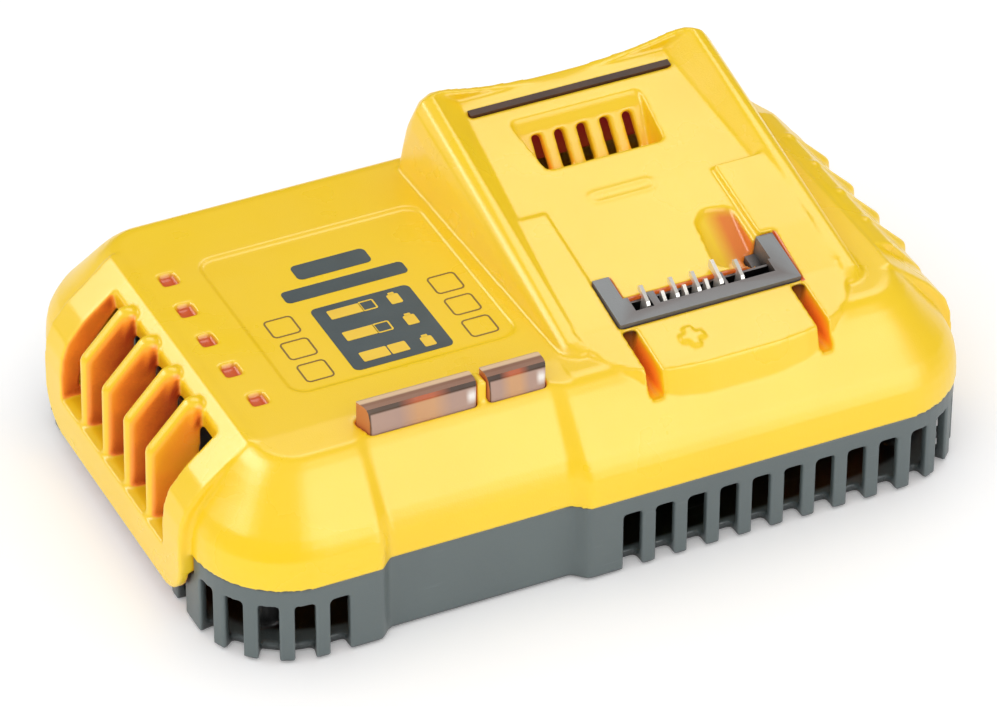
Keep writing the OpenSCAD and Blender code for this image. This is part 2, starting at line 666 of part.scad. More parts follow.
// A blade stands in its well and reaches back over the rim of the plate.
module contact(x, top, reach, under) {
    back = bar_mid + blade_foot;
    translate([x - blade_t / 2, 0, 0]) rotate([90, 0, 90]) linear_extrude(blade_t)
        polygon([[bar_mid, -block_depth - 3], [bar_mid, top - 2.4], [bar_mid + 0.8, top - 1.5],
            [bar_mid + reach - 0.7, top], [bar_mid + reach, top - 0.6],
            [bar_mid + reach - 0.2, under + 0.1],
            [back + 0.5, under], [back + 0.5, 0.2 - well_d], [back, 0.2 - well_d],
            [back, -block_depth - 3]]);
}
module power_blades() color([0.85, 0.83, 0.78])
    dock() for (i = [0:len(tall_xs) - 1]) contact(tall_xs[i], i == 1 ? 3.6 : 2.8, i == 1 ? 7.6 : 6.2, 0.8);
module signal_blades() color([0.85, 0.8, 0.65])
    dock() for (x = short_xs) contact(x, 1, blade_foot + 1, -0.4);
riser_y = dock_y0 + (bar_mid + 1.5) * cos(plate_tilt) + (block_depth + 3) * sin(plate_tilt);
riser_top = dock_z0 - (block_depth + 2.6) * cos(plate_tilt) + bar_mid * sin(plate_tilt);
riser_half = block_half - 2.6;
module riser_board() color([0.1, 0.35, 0.16])
    translate([dock_x - riser_half, riser_y + 2, board_z + board_t])
        cube([2 * riser_half, board_t, riser_top - board_z - board_t - 0.6]);

// Indicator lights.
module light_pipe(x) {
    light_pipe_solid(x, 0);
}
module light_pipe_long() color([0.75, 0.6, 0.5, 0.6]) light_pipe(pipe_long_x);
module light_pipe_short() color([0.75, 0.6, 0.5, 0.6]) light_pipe(pipe_short_x);
led_z = deck_z - 8 - 2.6;
led_xs = [pipe_long_x[0] + 7, pipe_long_x[1] - 7, (pipe_short_x[0] + pipe_short_x[1]) / 2];
module indicator_board() color([0.1, 0.35, 0.16])
    translate([pipe_long_x[0] - 2, pipe_y - 1, led_z - board_t])
        cube([pipe_short_x[1] - pipe_long_x[0] + 4, pipe_back + 2, board_t]);
module indicator_leds() color([0.95, 0.5, 0.1])
    for (x = led_xs) translate([x - 1.75, pipe_y + pipe_back / 2 - 1.5, led_z]) cube([3.5, 3, 1.4]);

// Main board and its parts.
module main_board() color([0.1, 0.35, 0.16]) difference() {
    translate([board_x[0], board_y[0], board_z])
        cube([board_x[1] - board_x[0], board_y[1] - board_y[0], board_t]);
    for (p = board_holes()) translate([p[0], p[1], board_z - 1]) cylinder(r = 1.7, h = board_t + 2);
    four_corners() translate([0, 0, board_z - 1]) cylinder(r = post_r + 0.8, h = board_t + 2);
}
part_z = board_z + board_t;
module board_screws() color([0.72, 0.72, 0.74]) for (p = board_holes()) translate([p[0], p[1], part_z]) {
    cylinder(r = 2.8, h = 1.8);
    translate([0, 0, -board_t - 4.5]) cylinder(r = 1, h = board_t + 4.5 + eps);
}
board_front = board_y[0];
board_back = board_y[1];
core_w = 42 * left_k;
core_d = 16;
core_h = 30;
core_leg = 11.5 * left_k;        // distance of the core's windows from its middle
window_w = 9 * left_k;
window_foot = 5;                 // height of the windows' lower edge
core_lift = 1.5;
core_x = dock_x - 32.4 * left_k;
core_back = 28;                  // distance of the core's middle from the board's back edge
core_y = board_back - core_back;
module transformer_core() color([0.2, 0.2, 0.22]) translate([core_x, core_y, part_z + core_lift])
    difference() {
    translate([-core_w / 2, -core_d / 2, 0]) cube([core_w, core_d, core_h]);
    for (s = [-1, 1]) translate([s * core_leg - window_w / 2, -core_d / 2 - 1, window_foot])
        cube([window_w, core_d + 2, core_h - 2 * window_foot]);
}
bobbin_w = 2 * core_leg + 6;
bobbin_d = core_d + 14;
bobbin_h = core_h - 11;
module transformer_bobbin() color([0.95, 0.75, 0.1]) translate([core_x, core_y, part_z]) difference() {
    union() {
        translate([-bobbin_w / 2, -bobbin_d / 2, core_lift + 5.5]) cube([bobbin_w, bobbin_d, bobbin_h]);
        for (s = [-1, 1]) translate([-bobbin_w / 2 - 1, s * (bobbin_d / 2 - 2.5) - 2.5, 0])
            cube([bobbin_w + 2, 5, core_lift + 6.5]);
    }
    translate([window_w / 2 - core_leg - 0.2, -bobbin_d / 2 - 1, core_lift + 4.7])
        cube([2 * core_leg - window_w + 0.4, bobbin_d + 2, bobbin_h + 1.6]);
    for (s = [-1, 1]) translate([s * (core_leg + core_w / 2) - core_w / 2, -core_d / 2 - 0.2, -1])
        cube([core_w, core_d + 0.4, core_lift + 6.2]);
}
module can(r, h) {
    rotate_extrude()
        polygon([[0, 0], [r - 0.4, 0], [r, 0.5], [r, 2.2], [r - 0.5, 2.8], [r, 3.4], [r, h - 0.6],
        [r - 0.6, h], [0, h]]);
}
bulk_r = 11 * left_k;
bulk_back = 26;
bulk_h = 30;
cap_r = 5 * right_k;
cap_in = [15.6, 28];             // first capacitor, from the dock's middle and the board's front
cap_h = 20;
module bulk_capacitor() color([0.12, 0.14, 0.3])
    translate([core_x - core_w / 2 - bulk_r - 4 * left_k, board_back - bulk_back, part_z])
        can(bulk_r, bulk_h);
module output_capacitors() color([0.13, 0.2, 0.35])
    for (p = [[0, 0], [0, 1], [1, 0]])
        translate([dock_x + cap_in[0] * right_k + p[0] * 2.8 * cap_r,
            board_front + cap_in[1] + p[1] * 2.8 * cap_r, part_z])
        can(cap_r, cap_h);
choke_r = 10 * left_k;
choke_in = 5.5 * left_k;
choke_h = 9;
turn_t = 1.5;
turns = 16;
choke_x = board_x[0] + choke_r + 6 * left_k;
choke_back = 38;
choke_y = board_back - choke_back;
module filter_choke() color([0.25, 0.25, 0.27]) translate([choke_x, choke_y, part_z + turn_t + 0.9])
    difference() {
    cylinder(r = choke_r, h = choke_h);
    translate([0, 0, -1]) cylinder(r = choke_in, h = choke_h + 2);
}
module choke_winding() color([0.72, 0.4, 0.15])
    translate([choke_x, choke_y, part_z + turn_t + 0.9 + choke_h / 2])
    for (i = [0:turns - 1]) rotate([0, 0, 360 * i / turns + 11])
        translate([(choke_r + choke_in) / 2, turn_t / 2, 0])
        rotate([90, 0, 0]) linear_extrude(turn_t) difference() {
            square([choke_r - choke_in + 3.2, choke_h + 3.4], center = true);
            square([choke_r - choke_in + 0.5, choke_h + 0.5], center = true);
        }
filter_box = [18 * left_k, 9, 15];
filter_in = [4, 16];             // its corner, from the board's left and front edges
module filter_capacitor() color([0.85, 0.75, 0.2])
    translate([board_x[0] + filter_in[0], board_front + filter_in[1], part_z]) cube(filter_box);
fuse_r = 2.5;
fuse_len = 20 * left_k;
fuse_in = [10, 12];              // its left end, from the board's left and back edges
clip_w = 4;
module mains_fuse() color([0.86, 0.88, 0.86])
    translate([board_x[0] + fuse_in[0], board_back - fuse_in[1], part_z + fuse_r + 0.5]) {
    rotate([0, 90, 0]) cylinder(r = fuse_r, h = fuse_len);
    for (x = [1, fuse_len - clip_w - 1]) translate([x, -fuse_r - 0.3, -fuse_r - 0.5]) difference() {
        cube([clip_w, 2 * fuse_r + 0.6, 2 * fuse_r]);
        translate([-1, 0.25, 1.5]) cube([clip_w + 2, 2 * fuse_r + 0.1, 2 * fuse_r]);
    }
}
sink_t = 2.4;
sink_d = 10;
fin_count = 6;
module heatsink(w, h) {
    cube([w, sink_t, h]);
    for (i = [0:fin_count - 1]) translate([i * (w - 2) / (fin_count - 1), sink_t - 0.4, 0])
        cube([2, sink_d - sink_t + 0.4, h]);
}
primary_w = 40 * left_k;
primary_h = 24;
output_w = 36 * right_k;
output_h = 28;
primary_in = [24, 10];           // corners of the heatsinks, from the board's edges
output_in = [11.6, 20];
primary_at = [board_x[0] + primary_in[0] * left_k, board_front + primary_in[1]];
output_at = [dock_x + output_in[0] * right_k, board_back - output_in[1]];
module primary_heatsink() color([0.75, 0.76, 0.78])
    translate([primary_at[0], primary_at[1], part_z]) heatsink(primary_w, primary_h);
module output_heatsink() color([0.75, 0.76, 0.78])
    translate([output_at[0], output_at[1], part_z]) heatsink(output_w, output_h);
tab_w = 10;
body_t = 4.6;
tab_t = 1.3;
body_h = 9;
leg_w = 1.1;
module packaged_part() {
    translate([0, -body_t, 4]) cube([tab_w, body_t, body_h]);
    translate([0, -tab_t, 4 + body_h - 0.1]) cube([tab_w, tab_t, 6.5]);
    for (i = [-1:1]) translate([tab_w / 2 + i * 2.5 - leg_w / 2, -tab_t * 2, 0]) cube([leg_w, 0.7, 4.1]);
}
module switch_transistor() color([0.14, 0.14, 0.15])
    translate([primary_at[0] + 0.35 * primary_w, primary_at[1] - 0.02, part_z]) packaged_part();
module output_rectifier() color([0.14, 0.14, 0.15])
    translate([output_at[0] + output_w / 3, output_at[1] - 0.02, part_z]) packaged_part();

// Cooling fan behind the left louvre; its shaft lies along X.
fan_ring_r = fan_size / 2 - 1.4;
shaft_r = 1.5;
bearing_r = 4;
rotor_x = fan_x + 2.2;
rotor_t = fan_t - 5.2;
tip_r = fan_ring_r - 0.7;
module fan_frame() color([0.1, 0.1, 0.11]) translate([fan_x, 0, fan_z]) rotate([0, 90, 0]) difference() {
    union() {
        difference() {
            translate([-fan_size / 2 + gap, -fan_size / 2, 0]) cube([fan_size - gap, fan_size, fan_t]);
            translate([0, 0, -1]) cylinder(r = fan_ring_r, h = fan_t + 2);
        }
        translate([0, 0, fan_t - 2]) cylinder(r = hub_r, h = 2);
        for (a = [45:90:315]) rotate([0, 0, a]) translate([hub_r - 2, -1.2, fan_t - 2])
            cube([fan_ring_r - hub_r + 3, 2.4, 2]);
        translate([0, 0, fan_t - 9]) cylinder(r = bearing_r, h = 8);
    }
    translate([0, 0, fan_t - 12]) cylinder(r = shaft_r + 0.05, h = 11);
    for (sx = [-1, 1], sy = [-1, 1]) translate([sx * fan_size * 0.4, sy * fan_size * 0.4, -1])
        cylinder(r = 1.7, h = fan_t + 2);
}
module fan_rotor() color([0.16, 0.16, 0.17]) translate([rotor_x, 0, fan_z]) rotate([0, 90, 0]) {
    difference() {
        cylinder(r = hub_r - 1, h = rotor_t);
        translate([0, 0, 1.6]) cylinder(r = hub_r - 2.6, h = rotor_t);
    }
    cylinder(r = shaft_r, h = fan_t - 4.2);
    for (i = [0:fan_blades - 1]) rotate([0, 0, 360 * i / fan_blades])
        translate([hub_r - 1.8, 0, rotor_t / 2])
        rotate([38, 0, 0]) translate([0, -0.6, -rotor_t / 2 * 0.92])
            cube([tip_r - hub_r + 1.4, 1.2, rotor_t * 0.92]);
}

top_shell();
base_tray();
terminal_block();
power_blades();
signal_blades();
light_pipe_long();
light_pipe_short();
indicator_board();
indicator_leds();
dock_seal();
main_board();
riser_board();
transformer_core();
transformer_bobbin();
bulk_capacitor();
output_capacitors();
filter_choke();
choke_winding();
filter_capacitor();
mains_fuse();
primary_heatsink();
output_heatsink();
switch_transistor();
output_rectifier();
fan_frame();
fan_rotor();
housing_screws();
board_screws();
rubber_feet();
cord_gland();
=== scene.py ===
import math

import bmesh
import bpy
from mathutils import Matrix, Vector


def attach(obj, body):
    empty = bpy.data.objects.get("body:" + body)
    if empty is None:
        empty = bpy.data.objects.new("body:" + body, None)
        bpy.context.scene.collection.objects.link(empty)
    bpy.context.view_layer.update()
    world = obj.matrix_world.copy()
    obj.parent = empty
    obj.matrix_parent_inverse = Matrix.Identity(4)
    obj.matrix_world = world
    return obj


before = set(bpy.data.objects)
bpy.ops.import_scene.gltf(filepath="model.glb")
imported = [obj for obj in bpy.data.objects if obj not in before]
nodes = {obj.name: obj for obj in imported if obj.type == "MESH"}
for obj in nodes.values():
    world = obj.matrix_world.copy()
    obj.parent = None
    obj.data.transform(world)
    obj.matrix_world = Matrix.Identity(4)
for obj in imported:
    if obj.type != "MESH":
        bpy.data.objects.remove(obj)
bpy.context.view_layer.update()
mm = 0.001
print("frame loaded:", len(nodes), "nodes")


# camera

cameraSetup = {
    "place": (-587.333, -1226.681, 1009.0),
    "azimuth": -25.572,
    "elevation": 35.929,
    "roll": -0.269,
    "lens": 225.83,
    "sensor": 36.0,
    "nearest": 0.1,
    "farthest": 20,
}


def viewMatrix(azimuth, elevation, roll, place):
    a, e, c = math.radians(azimuth), math.radians(elevation), math.radians(roll)
    back = Vector((math.sin(a) * math.cos(e), -math.cos(a) * math.cos(e), math.sin(e)))
    right = Vector((math.cos(a), math.sin(a), 0))
    up = back.cross(right)
    turnedRight = math.cos(c) * right - math.sin(c) * up
    turnedUp = math.sin(c) * right + math.cos(c) * up
    matrix = Matrix((turnedRight, turnedUp, back)).transposed().to_4x4()
    matrix.translation = Vector(place) * mm
    return matrix


cameraData = bpy.data.cameras.new("camera")
cameraData.lens = cameraSetup["lens"]
cameraData.sensor_width = cameraSetup["sensor"]
cameraData.clip_start = cameraSetup["nearest"]
cameraData.clip_end = cameraSetup["farthest"]
camera = bpy.data.objects.new("camera", cameraData)
camera.matrix_world = viewMatrix(
    cameraSetup["azimuth"], cameraSetup["elevation"], cameraSetup["roll"], cameraSetup["place"]
)
bpy.context.collection.objects.link(camera)
bpy.context.scene.camera = camera
bpy.context.scene.view_settings.view_transform = "Standard"
print("camera placed")


# node helpers


def plug(tree, node, inputs):
    for key, value in inputs.items():
        if isinstance(value, bpy.types.NodeSocket):
            tree.links.new(value, node.inputs[key])
        else:
            node.inputs[key].default_value = value


def addNode(tree, kind, inputs=None, **settings):
    node = tree.nodes.new(kind)
    for key, value in settings.items():
        setattr(node, key, value)
    plug(tree, node, inputs or {})
    return node


def mathNode(tree, operation, a, b=0.0):
    return addNode(tree, "ShaderNodeMath", {0: a, 1: b}, operation=operation).outputs[0]


def rangeNode(tree, value, low, high, toLow=0.0, toHigh=1.0):
    inputs = {"Value": value, "From Min": low, "From Max": high, "To Min": toLow, "To Max": toHigh}
    return addNode(tree, "ShaderNodeMapRange", inputs).outputs["Result"]


# A Mix node has one set of sockets for each data type; these serve its colours.
mixSockets = {"factor": 0, "first": 6, "second": 7, "result": 2}


def blendColours(tree, factor, first, second):
    inputs = {mixSockets["factor"]: factor, mixSockets["first"]: first, mixSockets["second"]: second}
    return addNode(tree, "ShaderNodeMix", inputs, data_type="RGBA").outputs[mixSockets["result"]]


def bumpNode(tree, height, strength, distance):
    inputs = {"Strength": strength, "Distance": distance, "Height": height}
    return addNode(tree, "ShaderNodeBump", inputs).outputs[0]


def noiseNode(tree, place, scale, detail):
    inputs = {"Vector": place, "Scale": scale, "Detail": detail}
    return addNode(tree, "ShaderNodeTexNoise", inputs).outputs[0]


def objectPlace(tree):
    return addNode(tree, "ShaderNodeTexCoord").outputs["Object"]


def axesOf(tree, vector):
    return addNode(tree, "ShaderNodeSeparateXYZ", {0: vector}).outputs


def facingAxes(tree):
    return axesOf(tree, addNode(tree, "ShaderNodeNewGeometry").outputs["Normal"])


def product(tree, *factors):
    value = factors[0]
    for factor in factors[1:]:
        value = mathNode(tree, "MULTIPLY", value, factor)
    return value


def between(tree, value, low, high, soft):
    rise = rangeNode(tree, value, low - soft, low + soft)
    return product(tree, rise, rangeNode(tree, value, high + soft, high - soft))


def startGroup(name, inputs, outputs):
    tree = bpy.data.node_groups.new(name, "ShaderNodeTree")
    for label, value in inputs.items():
        socket = tree.interface.new_socket(name=label, in_out="INPUT", socket_type="NodeSocketFloat")
        socket.default_value = value
    for label in outputs:
        tree.interface.new_socket(name=label, in_out="OUTPUT", socket_type="NodeSocketFloat")
    return tree, tree.nodes.new("NodeGroupInput"), tree.nodes.new("NodeGroupOutput")


def useGroup(tree, group, **inputs):
    node = addNode(tree, "ShaderNodeGroup", node_tree=group)
    plug(tree, node, {key.capitalize(): value for key, value in inputs.items()})
    return node.outputs


# shared surface effects

grainSetup = {"pitch": 2200.0, "drift": 28.0, "fineDetail": 2.0, "broadDetail": 3.0, "mottle": (0.3, 0.7)}


def buildMouldGrain():
    tree, start, end = startGroup(
        "mouldGrain", {"Pitch": grainSetup["pitch"], "Drift": grainSetup["drift"]}, ("Height", "Mottle")
    )
    place = objectPlace(tree)
    fine = noiseNode(tree, place, start.outputs["Pitch"], grainSetup["fineDetail"])
    broad = noiseNode(tree, place, start.outputs["Drift"], grainSetup["broadDetail"])
    plug(tree, end, {"Height": fine, "Mottle": rangeNode(tree, broad, *grainSetup["mottle"])})
    return tree


handlingSetup = {
    "length": 60.0,
    "amount": 0.5,
    "turn": (0.3, 0.2, 0.7),
    "stretch": (1.0, 22.0, 22.0),
    "streakDetail": 1.0,
    "streak": (0.66, 0.72),
    "patchScale": 45.0,
    "patchDetail": 4.0,
    "patch": (0.5, 0.72),
}


def buildHandling():
    setup = handlingSetup
    tree, start, end = startGroup(
        "handling", {"Length": setup["length"], "Amount": setup["amount"]}, ("Marks", "Smudge")
    )
    place = objectPlace(tree)
    turning = {"Vector": place, "Rotation": setup["turn"], "Scale": setup["stretch"]}
    turned = addNode(tree, "ShaderNodeMapping", turning).outputs[0]
    streak = noiseNode(tree, turned, start.outputs["Length"], setup["streakDetail"])
    patch = noiseNode(tree, place, setup["patchScale"], setup["patchDetail"])
    thin = rangeNode(tree, streak, *setup["streak"])
    where = rangeNode(tree, patch, *setup["patch"])
    plug(tree, end, {"Marks": product(tree, thin, where, start.outputs["Amount"]), "Smudge": where})
    return tree


edgeSetup = {"low": 0.52, "high": 0.62}


# Painted highlight: a lighter colour on sharp convex edges, found from pointiness.
def buildEdgeHighlight():
    tree, start, end = startGroup(
        "edgeHighlight", {"Low": edgeSetup["low"], "High": edgeSetup["high"]}, ("Edge",)
    )
    point = addNode(tree, "ShaderNodeNewGeometry").outputs["Pointiness"]
    plug(tree, end, {"Edge": rangeNode(tree, point, start.outputs["Low"], start.outputs["High"])})
    return tree


mouldGrain = buildMouldGrain()
handling = buildHandling()
edgeHighlight = buildEdgeHighlight()
print("shared effects built")


# materials

black = (0.0, 0.0, 0.0, 1.0)


def rgb(r, g, b):
    def linear(c):
        c = c / 255
        return c / 12.92 if c <= 0.04045 else ((c + 0.055) / 1.055) ** 2.4

    return (linear(r), linear(g), linear(b), 1.0)


def newMaterial(name):
    material = bpy.data.materials.new(name)
    material.use_nodes = True
    tree = material.node_tree
    return material, tree, tree.nodes["Principled BSDF"]


def socketLabel(key):
    spaced = "".join(" " + letter if letter.isupper() else letter for letter in key)
    return (spaced[0].upper() + spaced[1:]).replace("Ior", "IOR")


def wire(tree, shader, **inputs):
    plug(tree, shader, {socketLabel(key): value for key, value in inputs.items()})


plasticSetup = {
    "shadeSamples": 8,
    "markShare": 0.5,
    "smoother": 0.03,
    "rougher": 0.04,
    "smudgeShare": 0.05,
}


def mouldedPlastic(name, look, regions=None):
    setup = plasticSetup
    material, tree, shader = newMaterial(name)
    grain = useGroup(tree, mouldGrain, pitch=look["pitch"], drift=look["drift"])
    highlightEdges = useGroup(tree, edgeHighlight)
    marks = useGroup(tree, handling, amount=look["marks"])
    colour = blendColours(tree, grain["Mottle"], look["colour"], look["second"])
    reach = {"Distance": look["reach"]}
    # Painted shade: recesses and creases, found by ambient occlusion, are coloured toward the deep
    # colour, and the most closed ones toward the deepest.
    near = addNode(tree, "ShaderNodeAmbientOcclusion", reach, samples=setup["shadeSamples"]).outputs["AO"]
    paintedLight = regions(tree) if regions else {}
    if "near" in paintedLight:
        near = mathNode(tree, "SUBTRACT", near, paintedLight["near"])
    deep = rangeNode(tree, near, look["open"], look["shut"])
    closed = rangeNode(tree, near, look["shut"], look["closed"])
    colour = blendColours(tree, deep, colour, look["deep"])
    colour = blendColours(tree, closed, colour, look["deepest"])
    # Painted shade of each region that the regions function names.
    for factor, tint in paintedLight.get("paint", ()):
        colour = blendColours(tree, factor, colour, tint)
    # Painted highlight on the sharp edges, then the handling marks, both in the edge colour.
    colour = blendColours(tree, product(tree, highlightEdges["Edge"], look["edgeShare"]), colour, look["edge"])
    colour = blendColours(tree, product(tree, marks["Marks"], setup["markShare"]), colour, look["edge"])
    smoothest, roughest = look["rough"] - setup["smoother"], look["rough"] + setup["rougher"]
    rough = rangeNode(tree, grain["Mottle"], 0.0, 1.0, smoothest, roughest)
    rough = mathNode(tree, "SUBTRACT", rough, product(tree, marks["Smudge"], setup["smudgeShare"]))
    bump = bumpNode(tree, grain["Height"], look["bump"], look["bumpDepth"])
    wire(tree, shader, baseColor=colour, roughness=rough, normal=bump, specularIorLevel=look["shine"])
    # Painted glow: recesses emit the deep colour, fading to none in the most closed ones, and the region
    # behind the grille emits the ember red; none of these is a lamp.
    if "glow" in look:
        warm = blendColours(tree, deep, black, look["deep"])
        glowColour = blendColours(tree, closed, warm, black)
        wire(tree, shader, emissionColor=blendColours(tree, paintedLight["ember"], glowColour, look["ember"]))
        wire(tree, shader, emissionStrength=look["glow"])
    return material


# yellow plastic of the upper moulding

yellowLook = {
    "colour": rgb(253, 212, 26),
    "second": rgb(251, 207, 20),
    # deep and deepest: painted shade colours for recesses and creases.
    "deep": rgb(242, 132, 40),
    "deepest": rgb(184, 72, 32),
    # ember: the painted red glow behind the grille.
    "ember": rgb(168, 26, 30),
    # edge: colour of the painted edge highlight and of the handling marks.
    "edge": rgb(255, 222, 96),
    "edgeShare": 0.45,
    "reach": 0.016,
    "open": 0.46,
    "shut": 0.16,
    "closed": 0.01,
    "pitch": 2600.0,
    "drift": 26.0,
    "marks": 0.05,
    "rough": 0.3,
    "shine": 0.65,
    "bump": 0.2,
    "bumpDepth": 0.0002,
    # glow: strength of the painted glow in recesses and behind the grille.
    "glow": 0.3,
}

# Places with painted shade: the louvre fins, the square pockets, the rim round the terminal
# block with its notch, the two channels, the scoop, and the back wall behind the grille, which also gets
# a painted red glow.
hairline = 0.0002  # half the width over which most tints fade
louvre = {
    "from": 0.09,
    "to": 0.098,
    "half": 0.04,
    "fade": 0.001,
    "drop": 0.48,
    "rightShare": 0.4,
    "sideways": (0.4, 0.8),
}
pockets = {
    "low": -0.0895,
    "high": -0.0795,
    "half": 0.036,
    "fade": 0.0005,
    "top": 0.0538,
    "floor": 0.0526,
    "tint": rgb(214, 88, 26),
}
dock = {"place": (0.0404, -0.0435, 0.0564), "tilt": math.radians(10.8)}
blockRim = {
    "half": 0.0266,
    "low": -0.0006,
    "reach": 0.03,
    "top": 0.0172,
    "topFade": 0.0005,
    "width": 0.0009,
    "rightSideFade": 0.0004,
    "heights": (-0.004, 0.0016),
    "tint": rgb(226, 84, 24),
}
notch = {"middle": -0.0014, "half": 0.0204, "low": 0.0082}
channelShade = {
    "across": (0.0222, 0.0275),
    "along": (-0.0034, 0.0006),
    "alongFade": 0.0008,
    "sunk": (-0.0004, -0.001),
    "tint": rgb(40, 20, 8),
}
scoopShade = {
    "across": (0.0125, 0.0175),
    "end": 0.0235,
    "endFade": 0.001,
    "along": (0.009, 0.032),
    "alongFade": 0.0005,
    "sunk": (-0.0002, -0.0016),
    "depth": (-0.012, -0.0115),
    "tint": rgb(236, 132, 44),
}
grilleShade = {
    "facing": (-0.2, -0.4),
    "across": (0.03, 0.029),
    "along": (0.081, 0.104),
    "alongFade": 0.001,
    "sunk": (-0.008, -0.009),
    "depth": (-0.05, -0.012),
    "tint": rgb(96, 12, 14),
}


def boxGap(tree, a, b, halfA, halfB):
    gapA = mathNode(tree, "SUBTRACT", mathNode(tree, "ABSOLUTE", a), halfA)
    gapB = mathNode(tree, "SUBTRACT", mathNode(tree, "ABSOLUTE", b), halfB)
    return mathNode(tree, "MAXIMUM", gapA, gapB)


# Painted shade on the side faces of the louvre fins: it lowers the occlusion value there, so they take
# more of the deep colour; the right end gets less.
def finShadeRegion(tree, x, y, facing):
    left = rangeNode(tree, x, -louvre["from"], -louvre["to"])
    right = rangeNode(tree, x, louvre["from"], louvre["to"], 0.0, louvre["rightShare"])
    away = mathNode(tree, "ABSOLUTE", y)
    return product(
        tree,
        rangeNode(tree, mathNode(tree, "ABSOLUTE", facing[1]), *louvre["sideways"]),
        mathNode(tree, "MAXIMUM", left, right),
        rangeNode(tree, away, louvre["half"] + louvre["fade"], louvre["half"] - louvre["fade"]),
        louvre["drop"],
    )


# Painted shade in the square pockets, strongest at their floors.
def pocketShadeRegion(tree, x, y, z):
    away = mathNode(tree, "ABSOLUTE", y)
    return product(
        tree,
        rangeNode(tree, z, pockets["top"], pockets["floor"]),
        between(tree, x, pockets["low"], pockets["high"], hairline),
        rangeNode(tree, away, pockets["half"] + pockets["fade"], pockets["half"]),
    )


# Painted shade on the plate's cut edge round the terminal block: a thin band outside the block on its
# right side, and one inside the notch.
def rimShadeRegion(tree, across, along, height):
    rim = blockRim
    beyond = mathNode(tree, "SUBTRACT", along, rim["low"] + rim["reach"])
    outside = boxGap(tree, across, beyond, rim["half"], rim["reach"])
    outer = between(tree, outside, 0.0, rim["width"], hairline)
    rightSide = rangeNode(tree, across, rim["half"] - rim["rightSideFade"], rim["half"])
    notchAcross = mathNode(tree, "SUBTRACT", across, notch["middle"])
    notchAlong = mathNode(tree, "SUBTRACT", along, notch["low"] + rim["reach"])
    inside = boxGap(tree, notchAcross, notchAlong, notch["half"], rim["reach"])
    inner = between(tree, inside, -rim["width"], 0.0, hairline)
    return product(
        tree,
        mathNode(tree, "MAXIMUM", product(tree, outer, rightSide), inner),
        rangeNode(tree, along, rim["top"] + rim["topFade"], rim["top"] - rim["topFade"]),
        between(tree, height, *rim["heights"], hairline),
    )


def channelRegion(tree, across, along, height):
    return product(
        tree,
        between(tree, mathNode(tree, "ABSOLUTE", across), *channelShade["across"], hairline),
        between(tree, along, *channelShade["along"], channelShade["alongFade"]),
        rangeNode(tree, height, *channelShade["sunk"]),
    )


# Painted shade in the scoop beside the block, growing with its depth.
def scoopShadeRegion(tree, across, along, height):
    return product(
        tree,
        rangeNode(tree, height, *scoopShade["sunk"]),
        rangeNode(tree, across, *scoopShade["across"]),
        rangeNode(tree, across, scoopShade["end"], scoopShade["end"] - scoopShade["endFade"]),
        between(tree, along, *scoopShade["along"], scoopShade["alongFade"]),
        rangeNode(tree, height, *scoopShade["depth"]),
    )


# Painted shade on the back wall behind the grille slots; the same region also emits a painted red glow.
def grilleShadeRegion(tree, across, along, height, facing):
    return product(
        tree,
        rangeNode(tree, facing[1], *grilleShade["facing"]),
        rangeNode(tree, mathNode(tree, "ABSOLUTE", across), *grilleShade["across"]),
        between(tree, along, *grilleShade["along"], grilleShade["alongFade"]),
        rangeNode(tree, height, *grilleShade["sunk"]),
        rangeNode(tree, height, *grilleShade["depth"]),
    )


# The shell's painted shade regions, and the painted glow behind the grille.
def shellRegions(tree):
    place = objectPlace(tree)
    x, y, z = axesOf(tree, place)
    facing = facingAxes(tree)
    turning = {"Vector": place, "Location": dock["place"], "Rotation": (dock["tilt"], 0.0, 0.0)}
    turned = addNode(tree, "ShaderNodeMapping", turning, vector_type="TEXTURE").outputs[0]
    across, along, height = axesOf(tree, turned)
    grilleShadeMask = grilleShadeRegion(tree, across, along, height, facing)
    return {
        "near": finShadeRegion(tree, x, y, facing),
        "ember": grilleShadeMask,
        "paint": [
            (grilleShadeMask, grilleShade["tint"]),
            (pocketShadeRegion(tree, x, y, z), pockets["tint"]),
            (scoopShadeRegion(tree, across, along, height), scoopShade["tint"]),
            (channelRegion(tree, across, along, height), channelShade["tint"]),
            (rimShadeRegion(tree, across, along, height), blockRim["tint"]),
        ],
    }


# charcoal plastic of the base, and the greys and blacks derived from it

charcoalLook = {
    "colour": rgb(93, 104, 104),
    "second": rgb(88, 98, 99),
    # deep and deepest: painted shade colours for recesses and creases.
    "deep": rgb(24, 26, 27),
    "deepest": rgb(4, 5, 5),
    # edge: colour of the painted edge highlight and of the handling marks.
    "edge": rgb(132, 140, 142),
    "edgeShare": 0.6,
    "reach": 0.03,
    "open": 0.44,
    "shut": 0.26,
    "closed": 0.1,
    "pitch": 2600.0,
    "drift": 30.0,
    "marks": 0.4,
    "rough": 0.4,
    "shine": 0.6,
    "bump": 0.3,
    "bumpDepth": 0.0002,
}
# The grey and the black keep the painted edge highlight and take their own painted shade colour for
# recesses.
greyLook = dict(
    charcoalLook,
    colour=rgb(100, 90, 86),
    second=rgb(95, 86, 82),
    deep=rgb(26, 22, 22),
    reach=0.008,
    open=0.66,
    shut=0.4,
)
blackLook = dict(
    charcoalLook,
    colour=rgb(28, 29, 31),
    second=rgb(24, 25, 27),
    deep=rgb(8, 8, 9),
    edge=rgb(70, 72, 75),
)

# Painted shade darkens the inside of the base, within a rounded box that stops short of its walls.
trayShade = {
    "x": 0.106,
    "y": 0.0675,
    "power": 6.0,
    "rim": (1.0, 0.9),
    "floor": 0.0031,
    "floorFade": 0.0003,
    "tint": rgb(3, 4, 4),
}


